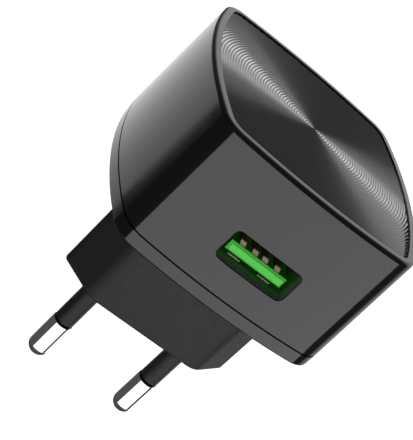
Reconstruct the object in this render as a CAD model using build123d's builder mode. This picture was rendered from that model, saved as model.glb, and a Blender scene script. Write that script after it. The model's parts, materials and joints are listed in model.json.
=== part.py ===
"""USB wall charger with a two-pin flat plug, a USB-A port in one side and a grooved front plate.

Row frame, in millimetres: the origin is the centre of the plug face, between the pins.
+Z points away from the wall, the pins point along -Z side by side on X, and the port opens towards -Y.
"""

import os
from math import radians, tan

from build123d import *

os.makedirs("parts", exist_ok=True)

# ---- Plug: two 4 mm pins in a six-sided boss ----
pin_spacing = 19.0
pin_diameter = 4.0
pin_length = 19.0
tip_round = 1.7
sleeve_length = 10.0
sleeve_diameter = 3.8
sleeve_bore = 3.0
sleeve_root = 1.0
sleeve_groove = 0.25
shoulder_chamfer = 0.3
boss_half_width = 17.8
boss_half_depth = 6.4
boss_flat = 11.3
boss_side_round = 1.2
boss_flat_round = 4.0
boss_end_round = 0.5
boss_wall = 2.0
pillar_diameter = 8.0

# ---- Body: a rounded box with bulged sides ----
centre_y = 6.9
half_x = 22.9
half_y = 25.5
bulge_x = 4.3
bulge_y = 2.65
corner_round = 5.0
rear_z = 18.2
seam_z = 20.8
front_z = 43.4
draft = 1.6
wall = 1.9
rear_round = 0.4
rim_round = 0.7
seam_gap = 0.3
seam_depth = 0.6

# ---- Rear cover: floor, lip and snap beads ----
floor_z = 20.0
lip_clearance = 0.1
lip_thickness = 1.0
lip_height = 2.2
bead_length = 7.0
bead_size = 0.4

# ---- Front plate, let into the front of the housing ----
plate_inset = 1.5
plate_drop = 0.35
plate_thickness = 1.2
plate_clearance = 0.05
front_wall = 1.5
peg_diameter = 2.0
peg_head_diameter = 3.2
peg_head_height = 0.6
peg_hole_clearance = 0.05
peg_x = 12.0
peg_y = 14.0

# ---- USB-A port ----
window_width = 13.9
window_height = 6.1
window_z = 29.03
window_round = 1.3
window_face_y = -18.4
throat_y = -17.5
recess_width = 14.2
recess_height = 6.7
recess_back_y = -15.15
flange_clearance = 0.05
mouth_width = 12.7
mouth_height = 5.3
mouth_z = 29.17
mouth_round = 0.7
usb_z = 29.2
cavity_width = 12.5
cavity_height = 5.12
cavity_round = 0.5
lining = 0.3
shell_sheet = 0.25
shell_front_y = -16.8
usb_back_y = -5.0
block_front_y = -6.6
tongue_width = 11.1
tongue_thickness = 1.84
tongue_front_y = -16.95
tongue_bottom_z = 27.38
tongue_chamfer = 0.4
contact_x = (-3.5, -1.0, 1.0, 3.5)
contact_width = 1.05
contact_sheet = 0.25
knuckle_radius = 0.18
contact_slot_width = 1.35
contact_slot_depth = 1.2
contact_slot_front = 0.5
pivot_y = -7.4
pivot_drop = 0.45
crest_y = -15.0
crest_rise = 0.30
tip_y = -16.15
tip_drop = 0.35
contact_bend = 0.5
tail_gap = 0.04
tail_y = -4.2
finger_x = 3.05
finger_width = 2.5
finger_gap = 0.25
finger_tip_clear = 0.4
finger_root_y = -7.6
finger_crest_y = -12.0
finger_tip_y = -15.9
finger_crest_rise = 0.35
finger_tip_drop = 0.08
finger_bend = 0.6
leg_places = (-13.6, -7.4)
leg_width = 1.8
leg_overlap = 1.2

# ---- Circuit board ----
board_z = 24.7
board_thickness = 1.2
board_inset = 2.5
board_front_y = -15.6
support_diameter = 3.0
support_places = [(-16.8, -9.0), (16.8, -9.0), (-17.6, 8.0), (17.6, 8.0), (-15.2, 25.3), (15.2, 25.3)]
lead_diameter = 0.6
lead_below = 1.1
lead_bend = 0.6
solder_diameter = 1.9
solder_height = 0.8
solder_taper = 30

# ---- Brass straps from the pins to the board ----
strap_width = 3.0
strap_thickness = 0.5
strap_riser_x = 16.25
rivet_diameter = 2.4
rivet_head_diameter = 3.8
rivet_head_height = 0.6

# Worked out from the dimensions above.
pin_x = pin_spacing / 2
radius_x = (half_y**2 + bulge_x**2) / (2 * bulge_x)
radius_y = (half_x**2 + bulge_y**2) / (2 * bulge_y)
mouth_y = throat_y + flange_clearance
tongue_top_z = tongue_bottom_z + tongue_thickness
tongue_z = (tongue_top_z + tongue_bottom_z) / 2
board_top_z = board_z + board_thickness
plate_top_z = front_z - plate_drop
plate_back_z = plate_top_z - plate_thickness
cavity_top_z = plate_back_z - front_wall
lip_top_z = seam_z + lip_height
strap_z = floor_z + strap_thickness
pivot_z = tongue_top_z - pivot_drop


def drafted(z):
    """How far the drafted wall has moved in at height z."""
    return tan(radians(draft)) * (z - seam_z)


def body_outline(inset):
    """The body's section in the active sketch: four bulged sides and four round corners."""
    for mode, side in ((Mode.ADD, 1), (Mode.INTERSECT, -1)):
        with Locations((side * (half_x - radius_x), centre_y)):
            Circle(radius_x - inset, mode=mode)
    for side in (1, -1):
        with Locations((0, centre_y + side * (half_y - radius_y))):
            Circle(radius_y - inset, mode=Mode.INTERSECT)
    fillet(vertices(), corner_round - inset)


def boss_outline(inset):
    """The plug boss's section in the active sketch: a flat hexagon with round corners."""
    corner = [(boss_half_width, 0), (boss_flat, boss_half_depth), (-boss_flat, boss_half_depth)]
    Polygon(*corner, *[(-x, -y) for x, y in corner], align=None)
    fillet(vertices().group_by(Axis.X)[0] + vertices().group_by(Axis.X)[-1], boss_side_round)
    flats = [v for v in vertices() if abs(v.Y) > boss_half_depth - 0.1]
    fillet(flats, boss_flat_round)
    if inset:
        offset(amount=-inset, mode=Mode.REPLACE)


def save(piece, name):
    """Labels a finished piece and writes its STEP file."""
    piece.label = name
    export_step(piece, f"parts/{name}.step")


# ---- Rear cover: plug boss, back of the body and snap lip in one moulding ----
with BuildPart() as rear_cover:
    with BuildSketch(Plane.XY.offset(rear_z)):
        body_outline(0)
    extrude(amount=seam_z - seam_gap / 2 - rear_z)
    fillet(edges().group_by(Axis.Z)[0], rear_round)
    with BuildSketch(Plane.XY.offset(seam_z - seam_gap / 2)):
        body_outline(seam_depth)
    extrude(amount=seam_gap / 2)
    with BuildSketch():
        boss_outline(0)
    extrude(amount=floor_z)
    fillet(edges().group_by(Axis.Z)[0], boss_end_round)
    with BuildSketch(Plane.XY.offset(seam_z)):
        body_outline(wall + lip_clearance)
    extrude(amount=lip_height)
    with BuildSketch(Plane.XY.offset(floor_z)):
        body_outline(wall + lip_clearance + lip_thickness)
    extrude(amount=lip_top_z - floor_z, mode=Mode.SUBTRACT)
    with BuildSketch(Plane.XY.offset(boss_wall)):
        boss_outline(boss_wall)
    extrude(amount=floor_z - boss_wall, mode=Mode.SUBTRACT)
    with BuildSketch(Plane.XY.offset(boss_wall)):
        with Locations((-pin_x, 0), (pin_x, 0)):
            Circle(pillar_diameter / 2)
        Rectangle(pin_spacing, boss_wall)
        with Locations((-pin_x, 0), (pin_x, 0)):
            Rectangle(boss_wall, 2 * boss_half_depth - boss_wall)
    extrude(amount=floor_z - boss_wall)
    with BuildSketch(Plane.XY.offset(boss_wall)):
        with Locations((-pin_x, 0), (pin_x, 0)):
            Circle(pillar_diameter / 2)
    extrude(amount=strap_z - boss_wall)
    # The pins and their sleeves are moulded in, so these bores are their exact size.
    with BuildSketch():
        with Locations((-pin_x, 0), (pin_x, 0)):
            Circle(sleeve_diameter / 2)
    extrude(amount=sleeve_root, mode=Mode.SUBTRACT)
    with BuildSketch(Plane.XY.offset(sleeve_root)):
        with Locations((-pin_x, 0), (pin_x, 0)):
            Circle(pin_diameter / 2)
    extrude(amount=rear_z - sleeve_root, mode=Mode.SUBTRACT)
    with BuildSketch(Plane.XY.offset(rear_z)):
        with Locations((-pin_x, 0), (pin_x, 0)):
            Circle(rivet_diameter / 2)
    extrude(amount=strap_z - rear_z, mode=Mode.SUBTRACT)
    # Posts under the board.
    with BuildSketch(Plane.XY.offset(floor_z)):
        with Locations(*support_places):
            Circle(support_diameter / 2)
    extrude(amount=board_z - floor_z)
    # Snap beads, half way up the lip, on all four sides.
    bead_z = seam_z + lip_height / 2
    for side in (-1, 1):
        with Locations((side * (half_x - wall - lip_clearance - bead_size / 4), centre_y, bead_z)):
            Box(1.5 * bead_size, bead_length, bead_size)
        with Locations((0, centre_y + side * (half_y - wall - lip_clearance - bead_size / 4), bead_z)):
            Box(bead_length, 1.5 * bead_size, bead_size)
save(rear_cover.part, "rear_cover")

# ---- Main housing: side walls, port window and the pocket for the front plate ----
with BuildPart() as main_housing:
    with BuildSketch(Plane.XY.offset(seam_z + seam_gap / 2)):
        body_outline(0)
    extrude(amount=front_z - seam_z - seam_gap / 2, taper=draft)
    fillet(edges().group_by(Axis.Z)[-1], rim_round)
    with BuildSketch(Plane.XY.offset(seam_z)):
        body_outline(seam_depth)
    extrude(amount=seam_gap)
    with BuildSketch(Plane.XY.offset(seam_z)):
        body_outline(wall)
    extrude(amount=cavity_top_z - seam_z, taper=draft, mode=Mode.SUBTRACT)
    with BuildSketch(Plane.XY.offset(plate_back_z)):
        body_outline(plate_inset + drafted(front_z))
    extrude(amount=front_z - plate_back_z, mode=Mode.SUBTRACT)
    # Port window, narrowing inwards to a lip.
    with BuildSketch(Plane.XZ.offset(-window_face_y)):
        with Locations((0, window_z)):
            RectangleRounded(window_width, window_height, window_round)
    extrude(amount=wall, mode=Mode.SUBTRACT)
    with BuildSketch(Plane.XZ.offset(-throat_y)):
        with Locations((0, mouth_z)):
            RectangleRounded(mouth_width, mouth_height, mouth_round)
    with BuildSketch(Plane.XZ.offset(-window_face_y)):
        with Locations((0, window_z)):
            RectangleRounded(window_width, window_height, window_round)
    loft(mode=Mode.SUBTRACT)
    # Recess behind the lip for the insulator's flange and the shell.
    with BuildSketch(Plane.XZ.offset(-recess_back_y)):
        with Locations((0, usb_z)):
            RectangleRounded(recess_width, recess_height, window_round)
    extrude(amount=recess_back_y - throat_y, mode=Mode.SUBTRACT)
    # Posts that hold the board down, from the front wall.
    with BuildSketch(Plane.XY.offset(board_top_z)):
        with Locations(*support_places):
            Circle(support_diameter / 2)
    extrude(amount=cavity_top_z - board_top_z)
    # Holes for the front plate's pegs.
    with BuildSketch(Plane.XY.offset(cavity_top_z)):
        with Locations((0, centre_y)):
            with GridLocations(2 * peg_x, 2 * peg_y, 2, 2):
                Circle(peg_diameter / 2 + peg_hole_clearance)
    extrude(amount=front_wall, mode=Mode.SUBTRACT)
    # Pockets that the cover's snap beads click into.
    for side in (-1, 1):
        with Locations((side * (half_x - wall), centre_y, bead_z)):
            Box(3 * bead_size, bead_length + bead_size, 2 * bead_size, mode=Mode.SUBTRACT)
        with Locations((0, centre_y + side * (half_y - wall), bead_z)):
            Box(bead_length + bead_size, 3 * bead_size, 2 * bead_size, mode=Mode.SUBTRACT)
save(main_housing.part, "main_housing")

# ---- Front plate, held by four pegs staked over behind the housing's front wall ----
with BuildPart() as front_plate:
    with BuildSketch(Plane.XY.offset(plate_back_z)):
        body_outline(plate_inset + plate_clearance + drafted(front_z))
    extrude(amount=plate_thickness)
    with BuildSketch(Plane.XY.offset(cavity_top_z)):
        with Locations((0, centre_y)):
            with GridLocations(2 * peg_x, 2 * peg_y, 2, 2):
                Circle(peg_diameter / 2)
    extrude(amount=front_wall)
    with BuildSketch(Plane.XY.offset(cavity_top_z - peg_head_height)):
        with Locations((0, centre_y)):
            with GridLocations(2 * peg_x, 2 * peg_y, 2, 2):
                Circle(peg_head_diameter / 2)
    extrude(amount=peg_head_height)
save(front_plate.part, "front_plate")

# ---- Pins, sleeves and straps, left and right ----
for side, word in ((-1, "left"), (1, "right")):
    shoulder_z = -sleeve_length - sleeve_groove
    with BuildPart() as pin:
        with BuildSketch(Plane((side * pin_x, 0, 0), x_dir=(1, 0, 0), z_dir=(0, -1, 0))):
            with BuildLine():
                Line((0, -pin_length), (pin_diameter / 2 - tip_round, -pin_length))
                corner = (pin_diameter / 2, -pin_length + tip_round)
                RadiusArc((pin_diameter / 2 - tip_round, -pin_length), corner, -tip_round)
                Polyline(
                    corner,
                    (pin_diameter / 2, shoulder_z - shoulder_chamfer),
                    (pin_diameter / 2 - shoulder_chamfer, shoulder_z),
                    (sleeve_bore / 2, shoulder_z),
                    (sleeve_bore / 2, sleeve_root),
                    (pin_diameter / 2, sleeve_root),
                    (pin_diameter / 2, rear_z),
                    (rivet_diameter / 2, rear_z),
                    (rivet_diameter / 2, strap_z + strap_thickness),
                    (rivet_head_diameter / 2, strap_z + strap_thickness),
                    (rivet_head_diameter / 2, strap_z + strap_thickness + rivet_head_height),
                    (0, strap_z + strap_thickness + rivet_head_height),
                    (0, -pin_length),
                )
            make_face()
        revolve(axis=Axis((side * pin_x, 0, 0), (0, 0, 1)))
    save(pin.part, f"pin_{word}")

    with BuildPart() as pin_sleeve:
        with BuildSketch(Plane.XY.offset(-sleeve_length)):
            with Locations((side * pin_x, 0)):
                Circle(sleeve_diameter / 2)
                Circle(sleeve_bore / 2, mode=Mode.SUBTRACT)
        extrude(amount=sleeve_length + sleeve_root)
    save(pin_sleeve.part, f"pin_sleeve_{word}")

    with BuildPart() as pin_strap:
        with BuildSketch(Plane.XZ.offset(-strap_width / 2)):
            with BuildLine():
                Polyline(
                    (side * (pin_x - strap_width), strap_z),
                    (side * strap_riser_x, strap_z),
                    (side * strap_riser_x, board_top_z + lead_below),
                    (side * (strap_riser_x - strap_thickness), board_top_z + lead_below),
                    (side * (strap_riser_x - strap_thickness), strap_z + strap_thickness),
                    (side * (pin_x - strap_width), strap_z + strap_thickness),
                    close=True,
                )
            make_face()
        extrude(amount=strap_width)
        with BuildSketch(Plane.XY.offset(strap_z)):
            with Locations((side * pin_x, 0)):
                Circle(rivet_diameter / 2)
        extrude(amount=strap_thickness, mode=Mode.SUBTRACT)
    save(pin_strap.part, f"pin_strap_{word}")

# ---- USB shell: a bent sheet sleeve with two spring fingers above and two below ----
finger_slot_front_y = finger_tip_y - finger_tip_clear
shell_width = cavity_width + 2 * (lining + shell_sheet)
shell_height = cavity_height + 2 * (lining + shell_sheet)
with BuildPart() as usb_shell:
    with BuildSketch(Plane.XZ.offset(-usb_back_y)):
        with Locations((0, usb_z)):
            RectangleRounded(shell_width, shell_height, cavity_round + lining + shell_sheet)
            RectangleRounded(
                shell_width - 2 * shell_sheet,
                shell_height - 2 * shell_sheet,
                cavity_round + lining,
                mode=Mode.SUBTRACT,
            )
    extrude(amount=usb_back_y - shell_front_y)
    opening = finger_root_y - finger_slot_front_y
    opening_y = (finger_root_y + finger_slot_front_y) / 2
    for level in (-1, 1):
        sheet_z = usb_z + level * (shell_height - shell_sheet) / 2
        inner_z = usb_z + level * cavity_height / 2
        with Locations((-finger_x, opening_y, sheet_z), (finger_x, opening_y, sheet_z)):
            Box(finger_width + 2 * finger_gap, opening, 2 * shell_sheet, mode=Mode.SUBTRACT)
        for side in (-1, 1):
            with BuildSketch(Plane.YZ.offset(side * finger_x - finger_width / 2)):
                with BuildLine() as finger_line:
                    FilletPolyline(
                        (finger_root_y + shell_sheet, sheet_z),
                        (finger_root_y - shell_sheet, sheet_z),
                        (finger_crest_y, inner_z - level * finger_crest_rise),
                        (finger_tip_y, inner_z + level * finger_tip_drop),
                        radius=finger_bend,
                    )
                trace(finger_line.line, shell_sheet)
            extrude(amount=finger_width)
    leg_x = (shell_width - shell_sheet) / 2
    leg_top_z = usb_z - shell_height / 2 + leg_overlap
    leg_bottom_z = board_z - lead_below
    for leg_y in leg_places:
        leg_z = (leg_top_z + leg_bottom_z) / 2
        with Locations((-leg_x, leg_y, leg_z), (leg_x, leg_y, leg_z)):
            Box(shell_sheet, leg_width, leg_top_z - leg_bottom_z)
save(usb_shell.part, "usb_shell")

# ---- USB insulator: flange, lining and contact tongue in one moulding ----
with BuildPart() as usb_insulator:
    with BuildSketch(Plane.XZ.offset(-usb_back_y)):
        with Locations((0, usb_z)):
            RectangleRounded(
                cavity_width + 2 * lining, cavity_height + 2 * lining, cavity_round + lining
            )
    extrude(amount=usb_back_y - shell_front_y)
    with BuildSketch(Plane.XZ.offset(-shell_front_y)):
        with Locations((0, usb_z)):
            RectangleRounded(
                recess_width - 2 * flange_clearance,
                recess_height - 2 * flange_clearance,
                window_round - flange_clearance,
            )
    extrude(amount=shell_front_y - mouth_y)
    with BuildSketch(Plane.XZ.offset(-block_front_y)):
        with Locations((0, usb_z)):
            RectangleRounded(cavity_width, cavity_height, cavity_round)
    extrude(amount=block_front_y - mouth_y, mode=Mode.SUBTRACT)
    # A lead-in that opens the cavity out towards the mouth.
    with BuildSketch(Plane.XZ.offset(-mouth_y)):
        with Locations((0, mouth_z)):
            RectangleRounded(mouth_width, mouth_height, mouth_round)
    with BuildSketch(Plane.XZ.offset(-shell_front_y)):
        with Locations((0, usb_z)):
            RectangleRounded(cavity_width, cavity_height, cavity_round)
    loft(mode=Mode.SUBTRACT)
    # Windows in the lining for the shell's spring fingers.
    lining_window = finger_root_y - finger_slot_front_y + finger_gap
    lining_window_y = (finger_root_y + finger_slot_front_y + finger_gap) / 2
    for level in (-1, 1):
        lining_z = usb_z + level * (cavity_height + lining) / 2
        with Locations((-finger_x, lining_window_y, lining_z), (finger_x, lining_window_y, lining_z)):
            Box(finger_width + 2 * finger_gap, lining_window, 2 * lining, mode=Mode.SUBTRACT)
    # The tongue.
    with BuildSketch(Plane.XZ.offset(-block_front_y)):
        with Locations((0, tongue_z)):
            Rectangle(tongue_width, tongue_thickness)
    extrude(amount=block_front_y - tongue_front_y)
    tongue_face = faces().filter_by(Axis.Y).sort_by_distance((0, tongue_front_y, tongue_z))[0]
    chamfer(tongue_face.edges(), tongue_chamfer)
    # A slot in the tongue for each contact, and the exact hole in the block for its tail.
    slot_front_y = tongue_front_y + contact_slot_front
    slot_length = block_front_y - slot_front_y
    slot_z = tongue_top_z - contact_slot_depth / 2
    for x in contact_x:
        with Locations((x, (slot_front_y + block_front_y) / 2, slot_z)):
            Box(contact_slot_width, slot_length, contact_slot_depth, mode=Mode.SUBTRACT)
        with Locations((x, (usb_back_y + block_front_y) / 2, pivot_z)):
            Box(contact_width, usb_back_y - block_front_y, contact_sheet, mode=Mode.SUBTRACT)
save(usb_insulator.part, "usb_insulator")

# ---- USB contacts: four sprung leaves, each turning about the knuckle at its root ----
for number, x in enumerate(contact_x, start=1):
    with BuildPart() as usb_contact:
        with BuildSketch(Plane.YZ.offset(x - contact_width / 2)):
            with BuildLine() as leaf_line:
                FilletPolyline(
                    (pivot_y, pivot_z),
                    (crest_y, tongue_top_z + crest_rise),
                    (tip_y, tongue_top_z - tip_drop),
                    radius=contact_bend,
                )
            trace(leaf_line.line, contact_sheet)
            with Locations((pivot_y, pivot_z)):
                Circle(knuckle_radius)
        extrude(amount=contact_width)
    save(usb_contact.part, f"usb_contact_{number}")

with BuildPart() as usb_contact_tails:
    for x in contact_x:
        with BuildSketch(Plane.YZ.offset(x - contact_width / 2)):
            with BuildLine() as tail_line:
                FilletPolyline(
                    (pivot_y + knuckle_radius + tail_gap, pivot_z),
                    (tail_y, pivot_z),
                    (tail_y, board_z - lead_below),
                    radius=contact_bend,
                )
            trace(tail_line.line, contact_sheet)
        extrude(amount=contact_width)
save(usb_contact_tails.part, "usb_contact_tails")

# ---- Transformer: two E cores around a bobbin, its windings run around Y ----
core_y = 9.0
core_z = board_top_z + 6.8  # the height of the core's middle
core_width = 16.0
core_half_length = 7.2
core_depth = 4.8
core_back = 2.1
outer_leg = 2.0
centre_leg = 4.0
bobbin_gap = 0.1
bobbin_wall = 0.7
flange_thickness = 0.8
flange_width = 11.6
flange_height = 12.4
winding_half = core_half_length - core_back - bobbin_gap - flange_thickness
primary_build = 1.2
secondary_build = 0.8
tape_build = 0.25
foot_length = 3.2
foot_height = 1.2
transformer_pin_x = (-4.5, -1.5, 1.5, 4.5)
transformer_pin_reach = 1.0

for side, word in ((-1, "front"), (1, "rear")):
    with BuildPart() as transformer_core:
        with BuildSketch(Plane.XY.offset(core_z - core_depth / 2)):
            with Locations((0, core_y + side * (core_half_length - core_back / 2))):
                Rectangle(core_width, core_back)
            with Locations((0, core_y + side * core_half_length / 2)):
                Rectangle(centre_leg, core_half_length)
                with GridLocations(core_width - outer_leg, 0, 2, 1):
                    Rectangle(outer_leg, core_half_length)
        extrude(amount=core_depth)
    save(transformer_core.part, f"transformer_core_{word}")

tube_width = centre_leg + 2 * (bobbin_gap + bobbin_wall)
tube_height = core_depth + 2 * (bobbin_gap + bobbin_wall)
bobbin_half = winding_half + flange_thickness
with BuildPart() as transformer_bobbin:
    with BuildSketch(Plane.XZ.offset(-core_y - bobbin_half)):
        with Locations((0, core_z)):
            Rectangle(tube_width, tube_height)
    extrude(amount=2 * bobbin_half)
    for side in (-1, 1):
        with Locations((0, core_y + side * (winding_half + flange_thickness / 2), core_z)):
            Box(flange_width, flange_thickness, flange_height)
        foot_y = core_y + side * (bobbin_half - flange_thickness + foot_length / 2)
        with Locations((0, foot_y, board_top_z + foot_height / 2)):
            Box(flange_width, foot_length, foot_height)
    with Locations((0, core_y, core_z)):
        Box(
            centre_leg + 2 * bobbin_gap,
            2 * core_half_length,
            core_depth + 2 * bobbin_gap,
            mode=Mode.SUBTRACT,
        )
save(transformer_bobbin.part, "transformer_bobbin")

layers = (
    ("primary_winding", 0, primary_build),
    ("secondary_winding", primary_build, secondary_build),
    ("winding_tape", primary_build + secondary_build, tape_build),
)
for name, inside, build in layers:
    with BuildPart() as layer:
        with BuildSketch(Plane.XZ.offset(-core_y - winding_half)):
            with Locations((0, core_z)):
                for grow, mode in ((inside + build, Mode.ADD), (inside, Mode.SUBTRACT)):
                    Rectangle(tube_width + 2 * grow, tube_height + 2 * grow, mode=mode)
        extrude(amount=2 * winding_half)
    save(layer.part, name)

# ---- Round parts that stand on the board ----
bulk_diameter = 8.0
bulk_height = 12.0
bulk_places = ((-13.4, 18.6), (13.4, 18.6))
bulk_lead_pitch = 3.5
output_diameter = 6.3
output_height = 9.0
output_places = ((-11.6, -8.0), (11.6, -8.0))
output_lead_pitch = 2.5
bung_height = 1.2
can_round = 0.5
can_groove_z = 2.0
can_groove_width = 0.5
can_groove_depth = 0.35
choke_place = (3.6, 24.8)
choke_diameter = 6.0
choke_height = 7.0
choke_flange = 1.2
choke_waist = 2.6
choke_winding_inset = 0.4
choke_lead_pitch = 3.0


def capacitor(name, place, diameter, height):
    """An aluminium can on a rubber bung, as two pieces: the can is rolled in above the bung."""
    x, y = place
    radius = diameter / 2
    with BuildPart() as can:
        with BuildSketch(Plane.XY.offset(board_top_z)):
            with Locations((x, y)):
                Circle(radius)
        extrude(amount=height)
        fillet(edges().group_by(Axis.Z)[-1], can_round)
        with BuildSketch(Plane.XY.offset(board_top_z + can_groove_z)):
            with Locations((x, y)):
                Circle(radius)
                Circle(radius - can_groove_depth, mode=Mode.SUBTRACT)
        extrude(amount=can_groove_width, mode=Mode.SUBTRACT)
        with BuildSketch(Plane.XY.offset(board_top_z)):
            with Locations((x, y)):
                Circle(radius - can_groove_depth)
        extrude(amount=bung_height, mode=Mode.SUBTRACT)
    save(can.part, name)


def bungs(name, places, diameter, pitch):
    """The rubber bungs of a pair of capacitors, with a hole for each lead."""
    with BuildPart() as group:
        with BuildSketch(Plane.XY.offset(board_top_z)):
            with Locations(*places):
                Circle(diameter / 2 - can_groove_depth)
                with GridLocations(pitch, 0, 2, 1):
                    Circle(lead_diameter / 2, mode=Mode.SUBTRACT)
        extrude(amount=bung_height)
    save(group.part, name)


for word, place in zip(("left", "right"), bulk_places):
    capacitor(f"bulk_capacitor_{word}", place, bulk_diameter, bulk_height)
for word, place in zip(("left", "right"), output_places):
    capacitor(f"output_capacitor_{word}", place, output_diameter, output_height)
bungs("bulk_capacitor_bungs", bulk_places, bulk_diameter, bulk_lead_pitch)
bungs("output_capacitor_bungs", output_places, output_diameter, output_lead_pitch)

with BuildPart() as choke_core:
    with BuildSketch(Plane.XY.offset(board_top_z)):
        with Locations(choke_place):
            Circle(choke_diameter / 2)
    extrude(amount=choke_height)
    with BuildSketch(Plane.XY.offset(board_top_z + choke_flange)):
        with Locations(choke_place):
            Circle(choke_diameter / 2)
            Circle(choke_waist / 2, mode=Mode.SUBTRACT)
    extrude(amount=choke_height - 2 * choke_flange, mode=Mode.SUBTRACT)
save(choke_core.part, "choke_core")

with BuildPart() as choke_winding:
    with BuildSketch(Plane.XY.offset(board_top_z + choke_flange)):
        with Locations(choke_place):
            Circle(choke_diameter / 2 - choke_winding_inset)
            Circle(choke_waist / 2, mode=Mode.SUBTRACT)
    extrude(amount=choke_height - 2 * choke_flange)
save(choke_winding.part, "choke_winding")

# ---- Fusible resistor, lying along X with its leads bent down ----
fuse_x = -7.4
fuse_y = 26.9
fuse_diameter = 3.0
fuse_length = 8.0
fuse_end_round = 0.6
fuse_lead_reach = 5.4
fuse_standoff = 0.3
fuse_z = board_top_z + fuse_diameter / 2 + fuse_standoff
with BuildPart() as fusible_resistor:
    with BuildSketch(Plane.YZ.offset(fuse_x - fuse_length / 2)):
        with Locations((fuse_y, fuse_z)):
            Circle(fuse_diameter / 2)
    extrude(amount=fuse_length)
    fillet(edges().filter_by(GeomType.CIRCLE), fuse_end_round)
    for side in (-1, 1):
        with BuildLine() as bent_lead:
            FilletPolyline(
                (fuse_x + side * fuse_length / 2, fuse_y, fuse_z),
                (fuse_x + side * fuse_lead_reach, fuse_y, fuse_z),
                (fuse_x + side * fuse_lead_reach, fuse_y, board_z - lead_below),
                radius=lead_bend,
            )
        with BuildSketch(Plane(bent_lead.line @ 0, z_dir=bent_lead.line % 0)):
            Circle(lead_diameter / 2)
        sweep(path=bent_lead.line)
save(fusible_resistor.part, "fusible_resistor")

# ---- Y capacitor: a round disc on edge across the isolation gap ----
disc_x = 12.0
disc_y = 7.5
disc_diameter = 8.0
disc_thickness = 3.0
disc_round = 1.2
disc_standoff = 0.8
disc_z = board_top_z + disc_diameter / 2 + disc_standoff
disc_lead_pitch = 7.0
with BuildPart() as y_capacitor:
    with BuildSketch(Plane.YZ.offset(disc_x - disc_thickness / 2)):
        with Locations((disc_y, disc_z)):
            Circle(disc_diameter / 2)
    extrude(amount=disc_thickness)
    fillet(edges().filter_by(GeomType.CIRCLE), disc_round)
    with BuildSketch(Plane.XY.offset(board_z - lead_below)):
        with Locations((disc_x, disc_y)):
            with GridLocations(0, disc_lead_pitch, 1, 2):
                Circle(lead_diameter / 2)
    extrude(amount=disc_z - board_z + lead_below)
save(y_capacitor.part, "y_capacitor")

# ---- Flat chips, with their row of legs on two sides ----
leg_thickness = 0.2
leg_size = 0.45
chip_standoff = 0.1
chip_chamfer = 0.3


def chip(name, place, body, legs, pitch, reach, below=False):
    """A moulded chip with legs on its two Y sides, on top of the board or below it."""
    x, y = place
    length, depth, height = body
    face_z = board_z if below else board_top_z
    up = -1 if below else 1
    with BuildPart() as moulded:
        with Locations((x, y, face_z + up * (chip_standoff + height / 2))):
            Box(length, depth, height)
        chamfer(faces().sort_by(Axis.Z)[0 if below else -1].edges(), min(chip_chamfer, height / 4))
        for side in (-1, 1):
            foot_y = y + side * (depth + reach - leg_thickness) / 2
            with Locations((x, foot_y, face_z + up * leg_thickness / 2)):
                with GridLocations(pitch, 0, legs, 1):
                    Box(leg_size, reach + leg_thickness, leg_thickness)
            with Locations((x, y + side * (depth + leg_thickness) / 2, face_z + up * height / 4)):
                with GridLocations(pitch, 0, legs, 1):
                    Box(leg_size, leg_thickness, height / 2)
            with Locations((x, y + side * (depth / 2), face_z + up * height / 2)):
                with GridLocations(pitch, 0, legs, 1):
                    Box(leg_size, 2 * leg_thickness, leg_thickness)
    save(moulded.part, name)


chip("controller_chip", (-1.0, 20.0), (4.9, 3.9, 1.4), 4, 1.27, 1.0, below=True)
chip("bridge_rectifier", (10.2, 27.0), (4.7, 3.0, 1.3), 2, 2.5, 0.9)
chip("sync_rectifier_chip", (11.0, -1.6), (4.9, 3.0, 1.4), 4, 1.27, 0.9)
chip("fast_charge_chip", (-9.6, -1.6), (2.9, 1.6, 1.1), 3, 0.95, 0.6)

opto_x = -12.0
opto_y = 7.5
opto_length = 4.6
opto_depth = 6.5
opto_height = 3.4
opto_standoff = 0.5
opto_chamfer = 0.5
opto_pitch = 2.54
opto_row = 7.62
opto_z = board_top_z + opto_standoff + opto_height / 2
opto_shoulder = (opto_row - opto_depth) / 2 + leg_thickness
opto_leg_bottom_z = board_z - lead_below
opto_leg_height = opto_z + leg_thickness / 2 - opto_leg_bottom_z
with BuildPart() as optocoupler:
    with Locations((opto_x, opto_y, opto_z)):
        Box(opto_length, opto_depth, opto_height)
    chamfer(faces().sort_by(Axis.Z)[-1].edges(), opto_chamfer)
    for side in (-1, 1):
        leg_y = opto_y + side * opto_row / 2
        shoulder_y = leg_y + side * (leg_thickness - opto_shoulder) / 2
        with Locations((opto_x, shoulder_y, opto_z)):
            with GridLocations(opto_pitch, 0, 2, 1):
                Box(leg_size, opto_shoulder, leg_thickness)
        with Locations((opto_x, leg_y, opto_leg_bottom_z + opto_leg_height / 2)):
            with GridLocations(opto_pitch, 0, 2, 1):
                Box(leg_size, leg_thickness, opto_leg_height)
save(optocoupler.part, "optocoupler")

# ---- Small surface-mounted parts below the board ----
resistor_places = ((-3.6, -12.0), (3.6, -12.0), (-6.5, 25.5))
ceramic_places = ((0, -0.9), (9.0, 23.2))
small_length = 2.0
small_width = 1.25
small_height = 0.6
resistor_gaps = (1.4, 1.0)
ceramic_gap = 1.2
with BuildPart() as chip_resistors:
    for place in resistor_places:
        with Locations((*place, board_z - small_height / 2)):
            with GridLocations(small_length + resistor_gaps[0], small_width + resistor_gaps[1], 2, 3):
                Box(small_length, small_width, small_height)
save(chip_resistors.part, "chip_resistors")

with BuildPart() as chip_capacitors:
    for place in ceramic_places:
        with Locations((*place, board_z - small_height / 2)):
            with GridLocations(small_width + ceramic_gap, small_length + ceramic_gap, 2, 2):
                Box(small_width, small_length, small_height)
save(chip_capacitors.part, "chip_capacitors")

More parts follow.
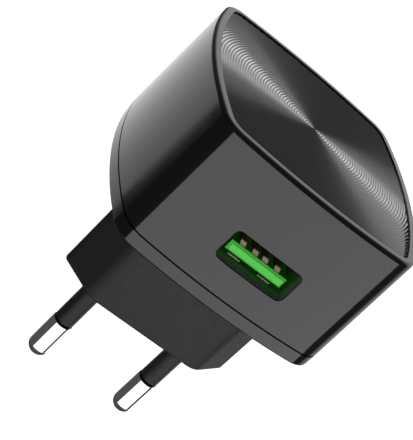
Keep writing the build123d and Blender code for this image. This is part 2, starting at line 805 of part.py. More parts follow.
# ---- Straight leads, and the board with a hole for everything that passes through it ----
straight_leads = []
for place in bulk_places:
    straight_leads += [(place[0] + side * bulk_lead_pitch / 2, place[1]) for side in (-1, 1)]
for place in output_places:
    straight_leads += [(place[0] + side * output_lead_pitch / 2, place[1]) for side in (-1, 1)]
choke_leads = [(choke_place[0] + side * choke_lead_pitch / 2, choke_place[1]) for side in (-1, 1)]
transformer_pins = [
    (x, core_y + side * (bobbin_half + transformer_pin_reach))
    for side in (-1, 1)
    for x in transformer_pin_x
]
fuse_leads = [(fuse_x + side * fuse_lead_reach, fuse_y) for side in (-1, 1)]
disc_leads = [(disc_x, disc_y + side * disc_lead_pitch / 2) for side in (-1, 1)]
opto_leads = [
    (opto_x + across * opto_pitch / 2, opto_y + side * opto_row / 2)
    for side in (-1, 1)
    for across in (-1, 1)
]
soldered = straight_leads + choke_leads + transformer_pins + fuse_leads + disc_leads

with BuildPart() as capacitor_leads:
    with BuildSketch(Plane.XY.offset(board_z - lead_below)):
        with Locations(*straight_leads):
            Circle(lead_diameter / 2)
    extrude(amount=board_thickness + lead_below + bung_height)
save(capacitor_leads.part, "capacitor_leads")

with BuildPart() as coil_pins:
    with BuildSketch(Plane.XY.offset(board_z - lead_below)):
        with Locations(*choke_leads, *transformer_pins):
            Circle(lead_diameter / 2)
    extrude(amount=board_thickness + lead_below)
save(coil_pins.part, "coil_pins")

slot_clearance = 0.15
isolation_slot_length = 5.0
isolation_slot_width = 1.2
with BuildPart() as main_board:
    with BuildSketch(Plane.XY.offset(board_z)):
        body_outline(board_inset)
        with Locations((0, board_front_y - half_y)):
            Rectangle(2 * half_x, 2 * half_y, mode=Mode.SUBTRACT)
        # Isolation slots between the mains side and the 5 V side, under the two parts that bridge it.
        with Locations((opto_x, opto_y), (disc_x, disc_y)):
            Rectangle(isolation_slot_length, isolation_slot_width, mode=Mode.SUBTRACT)
        with Locations(*soldered):
            Circle(lead_diameter / 2 + slot_clearance, mode=Mode.SUBTRACT)
        with Locations(*opto_leads):
            Circle(leg_size / 2 + slot_clearance, mode=Mode.SUBTRACT)
        with Locations(*[(x, tail_y) for x in contact_x]):
            Rectangle(contact_width + slot_clearance, contact_sheet + slot_clearance, mode=Mode.SUBTRACT)
        for side in (-1, 1):
            with Locations((side * (strap_riser_x - strap_thickness / 2), 0)):
                Rectangle(
                    strap_thickness + 2 * slot_clearance,
                    strap_width + 2 * slot_clearance,
                    mode=Mode.SUBTRACT,
                )
            with Locations(*[(side * leg_x, leg_y) for leg_y in leg_places]):
                Rectangle(
                    shell_sheet + 2 * slot_clearance,
                    leg_width + 2 * slot_clearance,
                    mode=Mode.SUBTRACT,
                )
    extrude(amount=board_thickness)
save(main_board.part, "main_board")

# ---- Solder cones under the board, around the round leads ----
with BuildPart() as solder_joints:
    with BuildSketch(Plane.XY.offset(board_z)):
        with Locations(*soldered):
            Circle(solder_diameter / 2)
    extrude(amount=-solder_height, taper=solder_taper)
    with BuildSketch(Plane.XY.offset(board_z)):
        with Locations(*soldered):
            Circle(lead_diameter / 2)
    extrude(amount=-solder_height, mode=Mode.SUBTRACT)
save(solder_joints.part, "solder_joints")

# ---- Insulation sheet between the live straps and the underside of the board ----
insulation_width = 28.0
insulation_length = 33.0
insulation_round = 2.0
insulation_y = 5.7
insulation_thickness = 0.4
with BuildPart() as insulation_sheet:
    with BuildSketch(Plane.XY.offset(strap_z + strap_thickness + rivet_head_height)):
        with Locations((0, insulation_y)):
            RectangleRounded(insulation_width, insulation_length, insulation_round)
    extrude(amount=insulation_thickness)
save(insulation_sheet.part, "insulation_sheet")
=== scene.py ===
"""Looks of the USB wall charger: its materials, the grooved front plate, the studio and the camera.

Metres, in the row frame: the plug face is at the origin, +Z leads away from the wall and the port opens
towards -Y.
"""

import json
from math import ceil, cos, degrees, floor, pi, radians, sin, tan

import bmesh
import bpy
from mathutils import Matrix, Vector


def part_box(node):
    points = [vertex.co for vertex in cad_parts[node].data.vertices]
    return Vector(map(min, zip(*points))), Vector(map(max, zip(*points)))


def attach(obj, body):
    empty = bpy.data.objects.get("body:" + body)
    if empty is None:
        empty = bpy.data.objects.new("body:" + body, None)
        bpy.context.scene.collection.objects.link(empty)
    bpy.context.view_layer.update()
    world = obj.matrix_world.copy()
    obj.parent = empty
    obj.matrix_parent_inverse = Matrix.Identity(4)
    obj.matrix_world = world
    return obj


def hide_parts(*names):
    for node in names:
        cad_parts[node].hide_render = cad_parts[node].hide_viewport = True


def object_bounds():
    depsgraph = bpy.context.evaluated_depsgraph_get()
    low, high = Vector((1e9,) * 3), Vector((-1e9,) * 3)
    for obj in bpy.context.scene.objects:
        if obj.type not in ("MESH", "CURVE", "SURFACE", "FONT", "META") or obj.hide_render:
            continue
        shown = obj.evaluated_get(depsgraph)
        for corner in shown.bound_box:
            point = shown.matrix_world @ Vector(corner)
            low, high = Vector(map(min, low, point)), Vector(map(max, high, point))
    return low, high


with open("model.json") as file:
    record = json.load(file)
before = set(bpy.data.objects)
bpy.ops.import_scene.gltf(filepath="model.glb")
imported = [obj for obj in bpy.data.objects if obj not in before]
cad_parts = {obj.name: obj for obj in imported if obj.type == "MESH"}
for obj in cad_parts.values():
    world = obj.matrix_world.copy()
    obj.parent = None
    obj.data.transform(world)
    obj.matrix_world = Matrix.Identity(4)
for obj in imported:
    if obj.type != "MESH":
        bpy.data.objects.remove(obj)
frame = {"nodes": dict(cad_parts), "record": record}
cad_lo, cad_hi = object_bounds()
MM = 0.001

# ---- Camera, at the photograph's angle: rolled, so the charger's long side leans in the picture ----
CAMERA_AZIMUTH = -20.881
CAMERA_ELEVATION = 23.709
CAMERA_ROLL = 45.892
CAMERA_DISTANCE = 213.13 * MM
CAMERA_AIM = Vector((-2.895, 4.001, 19.482)) * MM
CAMERA_LENS = 103.8

# ---- Shades that follow a place on the part: boxes in millimetres, spans in metres ----
BODY_BLACK = (0.0052, 0.0052, 0.0054)
PORT_FACE_RADIUS = 109 * MM
PORT_WINDOW = ((-6.98, -19.0, 25.95), (6.98, -14.0, 32.11))
PORT_WINDOW_FRONT = (-18.28 * MM, -18.25 * MM)
TONGUE_FRONT = ((-5.6, -17.0, 27.3), (5.6, -16.5, 29.3))
CONTACT_UNSHADED = (-17.5 * MM, -15.3 * MM)
FINGER_TIP_HIGHLIGHT = (-15.95 * MM, -15.86 * MM)
BOSS_BLEND = (18.0 * MM, 18.25 * MM)
PIN_PAINTED_SHADE = 0.45 * MM
MASK_EDGE = 0.1 * MM
SHARP_EDGE = 0.02 * MM
NOISE_USUAL = (0.3, 0.7)

# ---- Grooved plate ----
GROOVE_PITCH = 0.53 * MM
GROOVE_SLOPE = 26.0
PLATE_COLUMNS = 512
PEG_RADIUS = 1.0 * MM
PEG_HEAD_RADIUS = 1.6 * MM
PEG_HEAD_HEIGHT = 0.6 * MM
PEG_PLACES = [(x * MM, y * MM) for x in (-12.0, 12.0) for y in (-14.0, 14.0)]
PEG_HEAD_CHAMFER = (0.2 * MM, 0.15 * MM)
PEG_SEGMENTS = 32
PLATE_SEAT_DEPTH = 1.55 * MM
LAST_STRIP = 0.2
TOP_TOLERANCE = 1e-7

# ---- Studio ----
FLOOR_SIZE = 6.0
FLOOR_GAP = 0.1 * MM
FLOOR_GLOW = 0.85
SURROUND_DARK = 0.055
SURROUND_NEAR = 0.76
SURROUND_FAR = 1.0
CARD_DISTANCE = 0.6
ARC_RADIUS = 0.15
ARC_TOP = -0.079
ARC_BOTTOM = -0.125
TRAY_Z = -0.165
ARC_STEP = 5

# ---- Cards: azimuth, elevation, width and height in degrees, then radiance ----
KEY_CARD = (9.25, -27, 88.5, 38, 2.05)
FILL_CARD = (-8, 15, 30, 20, 8.0)
PLATE_CARDS = {
    "plate_card_left": (182, 18, 30, 30, 2.1),
    "plate_card_high": (196, 40, 30, 24, 0.9),
    "plate_card_right": (128, 30, 22, 20, 0.5),
}

# ---- Paper round the pins: start and end in degrees from -Y towards -X, then radiance ----
ARCS = {
    "arc_white": (-70, 56, 1.4),
    "arc_grey": (56, 201, 0.09),
    "arc_dark": (-97, -70, 0.01),
    "arc_sliver": (-159, -97, 1.4),
}
TRAY = (-159, 201, 0.07)
ARC_PROFILE = ((ARC_RADIUS, ARC_TOP), (ARC_RADIUS, ARC_BOTTOM))
TRAY_PROFILE = ((ARC_RADIUS, ARC_BOTTOM), (ARC_RADIUS, TRAY_Z), (1 * MM, TRAY_Z))

# ---- Surround: azimuths its light is measured from, ends of its ramps and the shares of light it keeps ----
BEHIND_AZIMUTH = 135
FAR_AZIMUTH = 159
LEFT_AZIMUTH = 249
BEHIND_EDGE = (-0.03, 0.04)
BEHIND_SPAN = (0, 0.48)
LOW_RIGHT_X = (0.05, 0.30)
LOW_RIGHT_Z = (-0.10, -0.26)
LOW_RIGHT_SHARE = 0.68
FRONT_Y = (-0.08, 0.26)
HORIZON_FAR = (0.80, 0.90)
HORIZON_BOTTOM_Z = (-0.24, -0.17)
HORIZON_TOP_Z = (0.06, 0.14)
TOP_Z = (0.55, 0.85)
TOP_SHARE = 0.48
LEFT_SIDE = (0.15, 0.55)
LEFT_Z = (-0.28, -0.02)
LEFT_SHARE = 0.08


def direction(azimuth, elevation):
    a, e = radians(azimuth), radians(elevation)
    return Vector((sin(a) * cos(e), -cos(a) * cos(e), sin(e)))


# ======================================================================================
# Camera
# ======================================================================================


def make_camera():
    back = direction(CAMERA_AZIMUTH, CAMERA_ELEVATION)
    level = Vector((cos(radians(CAMERA_AZIMUTH)), sin(radians(CAMERA_AZIMUTH)), 0))
    upright = back.cross(level)
    roll = radians(CAMERA_ROLL)
    right = cos(roll) * level + sin(roll) * upright
    up = back.cross(right)
    turn = Matrix((right, up, back)).transposed().to_4x4()
    data = bpy.data.cameras.new("camera")
    data.lens = CAMERA_LENS
    data.clip_start = 1 * MM
    camera = bpy.data.objects.new("camera", data)
    camera.matrix_world = Matrix.Translation(CAMERA_AIM + back * CAMERA_DISTANCE) @ turn
    bpy.context.scene.collection.objects.link(camera)
    bpy.context.scene.camera = camera


# ======================================================================================
# Materials
# ======================================================================================


class Look:
    """A material under construction: its node tree, its shader and shorthands for the usual nodes."""

    def __init__(self, name, colour, roughness, metallic=0.0, ior=1.5):
        self.material = bpy.data.materials.new(name)
        self.material.use_nodes = True
        self.tree = self.material.node_tree
        self.shader = self.tree.nodes["Principled BSDF"]
        self.shader.inputs["Base Color"].default_value = (*colour, 1)
        self.shader.inputs["Roughness"].default_value = roughness
        self.shader.inputs["Metallic"].default_value = metallic
        self.shader.inputs["IOR"].default_value = ior
        self.place = self.add("ShaderNodeTexCoord").outputs["Object"]

    def add(self, kind, inputs=(), **settings):
        """A node with its settings and its inputs, each a value or another node's output."""
        node = self.tree.nodes.new(kind)
        for key, value in settings.items():
            setattr(node, key, value)
        for key, value in dict(inputs).items():
            self.join(value, node.inputs[key])
        return node

    def join(self, value, socket):
        """Links another node's output to the socket, or sets the socket to a plain value."""
        if isinstance(value, bpy.types.NodeSocket):
            self.tree.links.new(value, socket)
        else:
            socket.default_value = value

    def noise(self, per_metre, detail=3.0, stretch=(1, 1, 1)):
        """Noise from 0 to 1 with so many cells per metre, stretched along the object's axes."""
        mapped = self.add("ShaderNodeMapping", {"Vector": self.place, "Scale": stretch})
        inputs = {"Vector": mapped.outputs[0], "Scale": per_metre, "Detail": detail}
        return self.add("ShaderNodeTexNoise", inputs).outputs[0]

    def span(self, value, low, high, start=0.0, end=1.0, smooth=False):
        """value, taken from start..end to low..high."""
        inputs = {"Value": value, "From Min": start, "From Max": end, "To Min": low, "To Max": high}
        kind = "SMOOTHSTEP" if smooth else "LINEAR"
        return self.add("ShaderNodeMapRange", inputs, interpolation_type=kind).outputs[0]

    def math(self, operation, a, b=0.0):
        node = self.add("ShaderNodeMath", operation=operation)
        for socket, value in zip(node.inputs, (a, b)):
            self.join(value, socket)
        return node.outputs[0]

    def blend(self, share, colour_a, colour_b):
        """colour_a where share is 0 and colour_b where it is 1."""
        node = self.add("ShaderNodeMix", data_type="RGBA")
        self.join(share, node.inputs[0])
        for index, colour in ((6, colour_a), (7, colour_b)):
            linked = isinstance(colour, bpy.types.NodeSocket)
            self.join(colour if linked else (*colour, 1), node.inputs[index])
        return node.outputs[2]

    def along(self, axis):
        """How far along X, Y or Z (0, 1 or 2) a point is, in metres."""
        return self.add("ShaderNodeSeparateXYZ", {"Vector": self.place}).outputs[axis]

    def within(self, axis, low, high, edge=MASK_EDGE):
        """1 where a point is between low and high along X, Y or Z (0, 1 or 2), falling to 0 over edge."""
        value = self.along(axis)
        rise = self.span(value, 0.0, 1.0, low - edge, low)
        return self.math("MULTIPLY", rise, self.span(value, 1.0, 0.0, high, high + edge))

    def region(self, lo, hi, edge=MASK_EDGE):
        """1 inside the box from lo to hi, in millimetres, falling to 0 over edge."""
        inside = [self.within(axis, lo[axis] * MM, hi[axis] * MM, edge) for axis in range(3)]
        return self.math("MULTIPLY", self.math("MULTIPLY", inside[0], inside[1]), inside[2])

    def put(self, socket, value):
        self.tree.links.new(value, self.shader.inputs[socket])

    def current(self, socket):
        """The output that is linked to the shader's socket now."""
        return self.shader.inputs[socket].links[0].from_socket

    def bump(self, value, depth, strength=1.0):
        """Raises the surface by up to depth metres where value is 1, on top of any bump there already."""
        inputs = {"Height": value, "Distance": depth, "Strength": strength}
        if self.shader.inputs["Normal"].is_linked:
            inputs["Normal"] = self.current("Normal")
        self.put("Normal", self.add("ShaderNodeBump", inputs).outputs[0])


def varied(colour, amount):
    return [min(1.0, c * amount) for c in colour]


def moulded(name, colour, roughness, grain=2500, grain_depth=0.002 * MM, wander=0.15, ior=1.5):
    """Moulded plastic: a faint flow in the colour, uneven gloss and a fine skin."""
    look = Look(name, colour, roughness, ior=ior)
    flow = look.noise(120, detail=2, stretch=(1, 1, 0.4))
    look.put("Base Color", look.blend(flow, varied(colour, 0.85), varied(colour, 1.15)))
    smudge = look.noise(260, detail=4)
    gloss = look.span(smudge, roughness * (1 - wander), roughness * (1 + wander), *NOISE_USUAL)
    look.put("Roughness", gloss)
    look.bump(look.noise(grain, detail=2), grain_depth)
    return look


def rolled_metal(name, colour, roughness, stretch=(1, 1, 12), depth=0.001 * MM):
    """Sheet or drawn metal: fine lines along one axis and patches of duller metal."""
    look = Look(name, colour, roughness, metallic=1.0)
    lines = look.noise(9000, detail=2, stretch=stretch)
    patch = look.noise(600, detail=3)
    look.put("Base Color", look.blend(patch, varied(colour, 0.9), varied(colour, 1.06)))
    look.put("Roughness", look.span(lines, roughness * 0.75, roughness * 1.3, *NOISE_USUAL))
    look.bump(lines, depth)
    return look


def housing_plastic():
    """Glossy all over except in the port's window, which the mould leaves matt."""
    look = moulded("housing_plastic", BODY_BLACK, 0.10, 900, 0.0004 * MM)
    window = look.region(*PORT_WINDOW, SHARP_EDGE)
    x = look.along(0)
    bulge = look.math("DIVIDE", look.math("MULTIPLY", x, x), 2 * PORT_FACE_RADIUS)
    depth = look.math("SUBTRACT", look.along(1), bulge)
    window = look.math("MULTIPLY", window, look.span(depth, 0.0, 1.0, *PORT_WINDOW_FRONT))
    colour = look.current("Base Color")
    look.put("Base Color", look.blend(window, colour, (0.03, 0.03, 0.031)))
    gloss = look.current("Roughness")
    look.put("Roughness", look.math("MAXIMUM", gloss, look.math("MULTIPLY", window, 0.55)))
    return look


def cover_plastic():
    """Glossy round the edge like the housing, and finely spark-textured on the plug boss."""
    look = moulded("cover_plastic", BODY_BLACK, 0.10, 900, 0.0004 * MM)
    boss = look.span(look.along(2), 1.0, 0.0, *BOSS_BLEND)
    gloss = look.current("Roughness")
    matt = look.span(look.noise(1800, detail=3), 0.54, 0.62, *NOISE_USUAL)
    mixed = look.math("ADD", gloss, look.math("MULTIPLY", boss, look.math("SUBTRACT", matt, gloss)))
    look.put("Roughness", mixed)
    spark = look.math("MULTIPLY", boss, look.noise(9000, detail=2))
    look.bump(spark, 0.004 * MM)
    return look


def plate_plastic():
    """Satin plastic with a fine skin. The grooves are geometry, in make_grooved_plate."""
    return moulded("plate_plastic", (0.0085, 0.0085, 0.0088), 0.22, 5000, 0.0008 * MM)


def sleeve_plastic():
    return moulded("sleeve_plastic", BODY_BLACK, 0.52, 4000, 0.002 * MM)


def pin_plating():
    """Polished nickel with faint turning lines, and a black ring of painted shade over the groove by the
    sleeve.
    """
    look = Look("pin_plating", (0.80, 0.80, 0.80), 0.07, metallic=1.0)
    turning = look.noise(22000, detail=1, stretch=(0.02, 0.02, 1))
    look.put("Roughness", look.span(turning, 0.05, 0.10, *NOISE_USUAL))
    haze = look.noise(500, detail=3)
    look.put("Base Color", look.blend(haze, (0.76, 0.76, 0.765), (0.84, 0.84, 0.835)))
    look.bump(turning, 0.0004 * MM)
    sleeve_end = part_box("pin_sleeve_left")[0].z
    # Painted shade: the metal over the groove next to the sleeve is coloured near black.
    groove = look.within(2, sleeve_end - PIN_PAINTED_SHADE, 0.0, SHARP_EDGE)
    colour = look.current("Base Color")
    look.put("Base Color", look.blend(groove, colour, (0.02, 0.02, 0.02)))
    return look


def usb_green():
    """Bright green on the tongue's front and a much darker green elsewhere, for the cavity's deep shade."""
    look = moulded("usb_green", (0.026, 0.115, 0.019), 0.28, 3500, 0.001 * MM)
    colour = look.current("Base Color")
    tongue = look.region(*TONGUE_FRONT, 0.03 * MM)
    look.put("Base Color", look.blend(tongue, colour, (0.07, 0.53, 0.055)))
    look.shader.inputs["Specular IOR Level"].default_value = 0.2
    return look


def contact_plating():
    """Thin gold flash over phosphor bronze, in its own colour at the front and painted dark further in as
    shade.
    """
    look = rolled_metal("contact_plating", (0.72, 0.62, 0.42), 0.45, (12, 1, 12))
    colour = look.current("Base Color")
    # Painted shade: behind the front ramps the contacts are coloured near black.
    unshaded_front = look.within(1, *CONTACT_UNSHADED)
    look.put("Base Color", look.blend(unshaded_front, (0.06, 0.045, 0.03), colour))
    look.shader.inputs["Metallic"].default_value = 0.25
    return look


def usb_shell_steel():
    """Plated sheet in painted shade with a painted green reflection, and painted highlights on the fingers'
    tips.
    """
    # Dark green base colour: painted shade inside the port, tinted by a painted reflection of the green
    # tongue.
    look = rolled_metal("usb_shell_steel", (0.10, 0.12, 0.06), 0.4, (1, 12, 1))
    colour = look.current("Base Color")
    # Painted highlight: the tips of the spring fingers are coloured bright beige where light catches their
    # edges.
    painted_tip_highlight = look.within(1, *FINGER_TIP_HIGHLIGHT, SHARP_EDGE)
    look.put("Base Color", look.blend(painted_tip_highlight, colour, (0.80, 0.76, 0.55)))
    look.shader.inputs["Metallic"].default_value = 0.3
    return look


def board_laminate():
    """Green mask over copper tracks, which show as raised, lighter bands, with glass weave in between."""
    look = Look("board_laminate", (0.02, 0.13, 0.05), 0.35)
    inputs = {"Vector": look.place, "Scale": 330.0, "Randomness": 0.3}
    cells = look.add("ShaderNodeTexVoronoi", inputs, distance="CHEBYCHEV", feature="DISTANCE_TO_EDGE")
    track = look.span(cells.outputs[0], 0.0, 1.0, 0.10, 0.14, smooth=True)
    look.put("Base Color", look.blend(track, (0.012, 0.09, 0.035), (0.03, 0.19, 0.07)))
    look.put("Roughness", look.span(look.noise(900), 0.28, 0.42, *NOISE_USUAL))
    look.bump(track, 0.02 * MM)
    look.bump(look.noise(6000, stretch=(1, 1, 0.1)), 0.003 * MM)
    return look


def ferrite():
    """Sintered grey-black ceramic, speckled and matt."""
    look = Look("ferrite", (0.035, 0.035, 0.038), 0.6)
    speck = look.noise(7000, detail=4)
    look.put("Base Color", look.blend(speck, (0.022, 0.022, 0.024), (0.055, 0.055, 0.058)))
    look.put("Roughness", look.span(speck, 0.5, 0.72, *NOISE_USUAL))
    look.bump(speck, 0.008 * MM)
    return look


def enamelled_copper():
    """Turns of fine enamelled wire laid side by side along Y."""
    look = Look("enamelled_copper", (0.55, 0.20, 0.07), 0.25, metallic=1.0)
    inputs = {"Vector": look.place, "Scale": 520.0, "Distortion": 0.4}
    turns = look.add("ShaderNodeTexWave", inputs, bands_direction="Y").outputs[0]
    look.put("Base Color", look.blend(turns, (0.28, 0.09, 0.03), (0.66, 0.26, 0.09)))
    look.put("Roughness", look.span(look.noise(2500), 0.2, 0.34, *NOISE_USUAL))
    look.bump(turns, 0.06 * MM)
    return look


def winding_tape():
    """Yellow polyester tape with a crinkled, slightly glossy skin."""
    return moulded("winding_tape", (0.80, 0.52, 0.03), 0.3, 1500, 0.03 * MM)


def can_aluminium():
    """Brushed aluminium in two close shades."""
    look = Look("can_aluminium", (0.75, 0.76, 0.78), 0.3, metallic=1.0)
    lines = look.noise(8000, stretch=(1, 1, 8))
    look.put("Roughness", look.span(lines, 0.22, 0.4, *NOISE_USUAL))
    look.put("Base Color", look.blend(look.noise(500), (0.68, 0.69, 0.71), (0.8, 0.81, 0.83)))
    look.bump(lines, 0.001 * MM)
    return look


def solder():
    return rolled_metal("solder", (0.62, 0.62, 0.60), 0.22, (1, 1, 1), 0.006 * MM)


def chip_epoxy():
    return moulded("chip_epoxy", (0.022, 0.022, 0.023), 0.5, 5000, 0.01 * MM)


def capacitor_lacquer():
    return moulded("capacitor_lacquer", (0.02, 0.09, 0.42), 0.25, 900, 0.03 * MM)


def resistor_lacquer():
    return moulded("resistor_lacquer", (0.05, 0.18, 0.10), 0.3, 1200, 0.02 * MM)


def chip_ceramic():
    """Fired ceramic body, tan and finely mottled."""
    look = Look("chip_ceramic", (0.30, 0.21, 0.12), 0.5)
    mottle = look.noise(4000, detail=4)
    look.put("Base Color", look.blend(mottle, (0.22, 0.15, 0.09), (0.40, 0.29, 0.18)))
    look.put("Roughness", look.span(mottle, 0.4, 0.6, *NOISE_USUAL))
    look.bump(mottle, 0.004 * MM)
    return look


LOOKS = {
    "housing_plastic": housing_plastic,
    "cover_plastic": cover_plastic,
    "plate_plastic": plate_plastic,
    "sleeve_plastic": sleeve_plastic,
    "pin_plating": pin_plating,
    "usb_green": usb_green,
    "usb_shell_steel": usb_shell_steel,
    "contact_plating": contact_plating,
    "strap_brass": lambda: rolled_metal("strap_brass", (0.78, 0.56, 0.24), 0.28, (1, 12, 1)),
    "board_laminate": board_laminate,
    "ferrite": ferrite,
    "bobbin_plastic": lambda: moulded("bobbin_plastic", (0.03, 0.03, 0.03), 0.5, 3000, 0.006 * MM),
    "enamelled_copper": enamelled_copper,
    "winding_tape": winding_tape,
    "can_aluminium": can_aluminium,
    "bung_rubber": lambda: moulded("bung_rubber", (0.02, 0.02, 0.02), 0.7, 2500, 0.01 * MM),
    "tinned_wire": lambda: rolled_metal("tinned_wire", (0.70, 0.70, 0.68), 0.25),
    "solder": solder,
    "chip_epoxy": chip_epoxy,
    "resistor_lacquer": resistor_lacquer,
    "capacitor_lacquer": capacitor_lacquer,
    "chip_ceramic": chip_ceramic,
    "insulation_film": lambda: moulded("insulation_film", (0.66, 0.66, 0.60), 0.35, 800, 0.02 * MM),
}
looks = {slot: make() for slot, make in LOOKS.items()}


def dress_nodes():
    """Gives each CAD node the material of its slot."""
    for row in frame["record"]["subparts"]:
        materials = frame["nodes"][row["node"]].data.materials
        materials.clear()
        materials.append(looks[row["material_slot"]].material)


# ======================================================================================
# Grooved front plate
# ======================================================================================


def outline_radius(points, angle):
    """How far the outline is from its middle at this angle; points are (angle, x, y), sorted by angle."""
    for (a0, x0, y0), (a1, x1, y1) in zip(points, points[1:]):
        if a0 <= angle <= a1:
            dx, dy = x1 - x0, y1 - y0
            return (x0 * dy - y0 * dx) / (cos(angle) * dy - sin(angle) * dx)
    raise ValueError(f"the outline has no point at {degrees(angle):.1f} degrees")


def plate_outline(node, middle):
    """The plate's outline round its middle as (angle, x, y), a little more than once round."""
    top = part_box("front_plate")[1].z
    found = {}
    for vertex in node.data.vertices:
        if vertex.co.z > top - TOP_TOLERANCE:
            offset = vertex.co.xy - middle
            angle = offset.angle_signed(Vector((1, 0)))
            found[round(angle, 5)] = (angle, *offset)
    ring = [found[key] for key in sorted(found)]
    before = (ring[-1][0] - 2 * pi, *ring[-1][1:])
    after = (ring[0][0] + 2 * pi, *ring[0][1:])
    return [before, *ring, after]


def groove_height(radius):
    """How far below the plate's top the V groove is at this distance from the middle."""
    half = GROOVE_PITCH / 2
    step = (radius / half) % 2
    return -half * tan(radians(GROOVE_SLOPE)) * (step if step <= 1 else 2 - step)


def zip_chains(mesh, left, right):
    """Fills the strip between two chains of vertices that share neither end, from their first points on."""
    i, j = 0, 0
    while i < len(left) - 1 or j < len(right) - 1:
        if j == len(right) - 1 or (i < len(left) - 1 and i <= j):
            mesh.faces.new((left[i], left[i + 1], right[j]))
            i += 1
        else:
            mesh.faces.new((left[i], right[j + 1], right[j]))
            j += 1


def add_peg(mesh, x, y, top_z, neck_z, head_z):
    """A peg on the plate's back, with its end staked over into a head."""
    profile = [
        (PEG_RADIUS, top_z),
        (PEG_RADIUS, neck_z),
        (PEG_HEAD_RADIUS, neck_z),
        (PEG_HEAD_RADIUS, head_z + PEG_HEAD_CHAMFER[1]),
        (PEG_HEAD_RADIUS - PEG_HEAD_CHAMFER[0], head_z),
    ]
    rings = []
    for radius, z in profile:
        turn = [2 * pi * k / PEG_SEGMENTS for k in range(PEG_SEGMENTS)]
        rings.append([mesh.verts.new((x + radius * cos(t), y + radius * sin(t), z)) for t in turn])
    for upper, lower in zip(rings, rings[1:]):
        for k in range(PEG_SEGMENTS):
            after = (k + 1) % PEG_SEGMENTS
            mesh.faces.new((upper[k], lower[k], lower[after], upper[after]))
    mesh.faces.new(rings[0])
    mesh.faces.new(reversed(rings[-1]))


def make_grooved_plate():
    """The front plate with its grooves cut as real V grooves round its middle."""
    node = frame["nodes"]["front_plate"]
    lo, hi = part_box("front_plate")
    middle = Vector(((lo.x + hi.x) / 2, (lo.y + hi.y) / 2))
    plate_back_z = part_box("main_housing")[1].z - PLATE_SEAT_DEPTH
    points = plate_outline(node, middle)
    row = GROOVE_PITCH / 2
    mesh = bmesh.new()
    centre = mesh.verts.new((middle.x, middle.y, hi.z))
    columns, rim, skirt = [], [], []
    for k in range(PLATE_COLUMNS):
        angle = -pi + 2 * pi * (k + 0.5) / PLATE_COLUMNS
        edge = outline_radius(points, angle)
        radii = [row * n for n in range(1, floor(edge / row - LAST_STRIP) + 1)] + [edge]
        column = []
        for radius in radii:
            x, y = middle.x + radius * cos(angle), middle.y + radius * sin(angle)
            column.append(mesh.verts.new((x, y, hi.z + groove_height(radius))))
        columns.append(column)
        skirt.append(mesh.verts.new((column[-1].co.x, column[-1].co.y, plate_back_z)))
    for k, left in enumerate(columns):
        right = columns[(k + 1) % PLATE_COLUMNS]
        shared = min(len(left), len(right)) - 1
        mesh.faces.new((centre, left[0], right[0]))
        for n in range(shared - 1):
            mesh.faces.new((left[n], left[n + 1], right[n + 1], right[n]))
        zip_chains(mesh, left[shared - 1 :], right[shared - 1 :])
        mesh.faces.new((left[-1], skirt[k], skirt[(k + 1) % PLATE_COLUMNS], right[-1]))
    mesh.faces.new(reversed(skirt))
    for x, y in PEG_PLACES:
        add_peg(mesh, x, middle.y + y, plate_back_z, lo.z + PEG_HEAD_HEIGHT, lo.z)
    bmesh.ops.recalc_face_normals(mesh, faces=mesh.faces)
    data = bpy.data.meshes.new("front_plate_grooved")
    mesh.to_mesh(data)
    mesh.free()
    data.materials.append(looks["plate_plastic"].material)
    plate = bpy.data.objects.new("front_plate_grooved", data)
    bpy.context.scene.collection.objects.link(plate)
    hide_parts("front_plate")
    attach(plate, "charger")
    return plate


# ======================================================================================
# Studio
# ======================================================================================


def make_floor():
    """A plain pale floor. It only shows itself, so the cards below it still light the charger."""
    look = Look("floor", (0.85, 0.85, 0.85), 0.6)
    look.put("Base Color", look.blend(look.noise(3), (0.83, 0.83, 0.83), (0.87, 0.87, 0.87)))
    look.shader.inputs["Emission Color"].default_value = (1, 1, 1, 1)
    look.shader.inputs["Emission Strength"].default_value = FLOOR_GLOW
    mesh = bmesh.new()
    bmesh.ops.create_grid(mesh, x_segments=8, y_segments=8, size=FLOOR_SIZE / 2)
    data = bpy.data.meshes.new("floor")
    mesh.to_mesh(data)
    mesh.free()
    data.materials.append(look.material)
    floor_piece = bpy.data.objects.new("floor", data)
    floor_piece.location.z = cad_lo.z - FLOOR_GAP
    floor_piece.visible_glossy = False
    floor_piece.visible_diffuse = False
    floor_piece.visible_transmission = False
    floor_piece.visible_shadow = False
    bpy.context.scene.collection.objects.link(floor_piece)


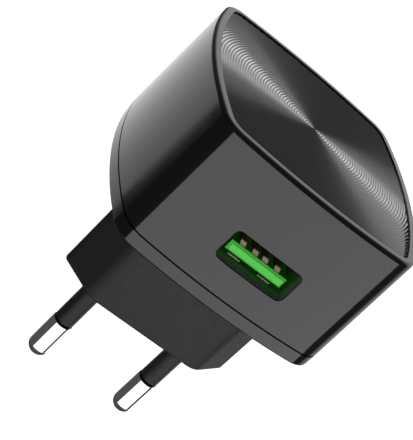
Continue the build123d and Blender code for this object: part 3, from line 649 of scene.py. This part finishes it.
def make_surround():
    """A studio that is white behind the charger and dark on the camera's side, and white to the camera."""
    world = bpy.data.worlds.new("surround")
    bpy.context.scene.world = world
    world.use_nodes = True
    tree = world.node_tree
    background = tree.nodes["Background"]
    background.inputs["Color"].default_value = (1, 1, 1, 1)

    def add(kind, **settings):
        node = tree.nodes.new(kind)
        for key, value in settings.items():
            setattr(node, key, value)
        return node

    def ramp(value, start, end, low, high, kind="SMOOTHSTEP"):
        node = add("ShaderNodeMapRange", interpolation_type=kind)
        tree.links.new(value, node.inputs["Value"])
        for key, number in (("From Min", start), ("From Max", end), ("To Min", low), ("To Max", high)):
            node.inputs[key].default_value = number
        return node.outputs[0]

    def combine(operation, a, b):
        node = add("ShaderNodeMath", operation=operation)
        tree.links.new(a, node.inputs[0])
        tree.links.new(b, node.inputs[1])
        return node.outputs[0]

    place = add("ShaderNodeTexCoord").outputs["Generated"]

    def facing(azimuth):
        """1 straight towards this azimuth, 0 square to it and -1 away from it."""
        node = add("ShaderNodeVectorMath", operation="DOT_PRODUCT")
        node.inputs[1].default_value = direction(azimuth, 0)
        tree.links.new(place, node.inputs[0])
        return node.outputs["Value"]

    def rise(value, ends):
        return ramp(value, *ends, 0, 1)

    def fade(mask, share):
        """All of the light where the mask is 0 and this share of it where the mask is 1."""
        return ramp(mask, 0, 1, 1, share, "LINEAR")

    behind = facing(BEHIND_AZIMUTH)
    parts = add("ShaderNodeSeparateXYZ")
    tree.links.new(place, parts.inputs[0])
    x, y, z = parts.outputs
    level = ramp(behind, *BEHIND_SPAN, SURROUND_NEAR, SURROUND_FAR, "LINEAR")
    lit = combine("MULTIPLY", rise(behind, BEHIND_EDGE), level)
    low_right = combine("MULTIPLY", rise(x, LOW_RIGHT_X), rise(z, LOW_RIGHT_Z))
    lit = combine("MULTIPLY", lit, fade(low_right, LOW_RIGHT_SHARE))
    lit = combine("MULTIPLY", lit, rise(y, FRONT_Y))
    horizon = combine("MULTIPLY", rise(z, HORIZON_BOTTOM_Z), ramp(z, *HORIZON_TOP_Z, 1, 0))
    horizon = combine("MULTIPLY", horizon, rise(facing(FAR_AZIMUTH), HORIZON_FAR))
    lit = combine("MULTIPLY", lit, fade(horizon, 0))
    lit = combine("MULTIPLY", lit, ramp(z, *TOP_Z, 1, TOP_SHARE))
    left = combine("MULTIPLY", rise(facing(LEFT_AZIMUTH), LEFT_SIDE), rise(z, LEFT_Z))
    lit = combine("MULTIPLY", lit, fade(left, LEFT_SHARE))
    strength = ramp(lit, 0, 1, SURROUND_DARK, 1, "LINEAR")
    ray = add("ShaderNodeLightPath").outputs["Is Camera Ray"]
    tree.links.new(combine("MAXIMUM", ray, strength), background.inputs["Strength"])


def make_card(name, azimuth, elevation, width, height, radiance, gloss=True):
    """A soft card width by height degrees across, seen from the charger, that faces it."""
    data = bpy.data.lights.new(name, "AREA")
    data.shape = "RECTANGLE"
    data.size = 2 * CARD_DISTANCE * tan(radians(width / 2))
    data.size_y = 2 * CARD_DISTANCE * tan(radians(height / 2))
    data.energy = radiance * pi * data.size * data.size_y
    card = bpy.data.objects.new(name, data)
    towards = direction(azimuth, elevation)
    middle = (cad_lo + cad_hi) / 2
    card.location = middle + CARD_DISTANCE * towards
    card.rotation_mode = "QUATERNION"
    card.rotation_quaternion = (-towards).to_track_quat("-Z", "Y")
    card.visible_camera = False
    card.visible_glossy = gloss
    bpy.context.scene.collection.objects.link(card)
    return card


def make_arc(name, start, end, radiance, profile):
    """Paper round the pins, seen only in reflections; angles in degrees from -Y towards -X."""
    look = Look(name, (0, 0, 0), 1.0)
    look.shader.inputs["Specular IOR Level"].default_value = 0
    look.shader.inputs["Emission Color"].default_value = (1, 1, 1, 1)
    look.shader.inputs["Emission Strength"].default_value = radiance
    steps = ceil(abs(end - start) / ARC_STEP)
    mesh = bmesh.new()
    rows = []
    for radius, z in profile:
        turn = [radians(start + (end - start) * k / steps) for k in range(steps + 1)]
        rows.append([mesh.verts.new((-radius * sin(t), -radius * cos(t), z)) for t in turn])
    for upper, lower in zip(rows, rows[1:]):
        for k in range(steps):
            mesh.faces.new((upper[k], lower[k], lower[k + 1], upper[k + 1]))
    data = bpy.data.meshes.new(name)
    mesh.to_mesh(data)
    mesh.free()
    data.materials.append(look.material)
    arc = bpy.data.objects.new(name, data)
    arc.visible_camera = False
    arc.visible_diffuse = False
    arc.visible_transmission = False
    arc.visible_shadow = False
    bpy.context.scene.collection.objects.link(arc)


def only_for(card, pieces):
    """Lets a card light only these pieces."""
    group = bpy.data.collections.new(card.name + "_pieces")
    for piece in pieces:
        group.objects.link(piece)
    card.light_linking.receiver_collection = group


dress_nodes()
grooved_plate = make_grooved_plate()
make_camera()
make_floor()
make_surround()
make_card("key_card", *KEY_CARD)
for card_name, card_setting in PLATE_CARDS.items():
    only_for(make_card(card_name, *card_setting), [grooved_plate])
make_card("fill_card", *FILL_CARD, gloss=False)
for arc_name, arc_setting in ARCS.items():
    make_arc(arc_name, *arc_setting, ARC_PROFILE)
make_arc("arc_tray", *TRAY, TRAY_PROFILE)
bpy.context.scene.view_settings.view_transform = "Standard"
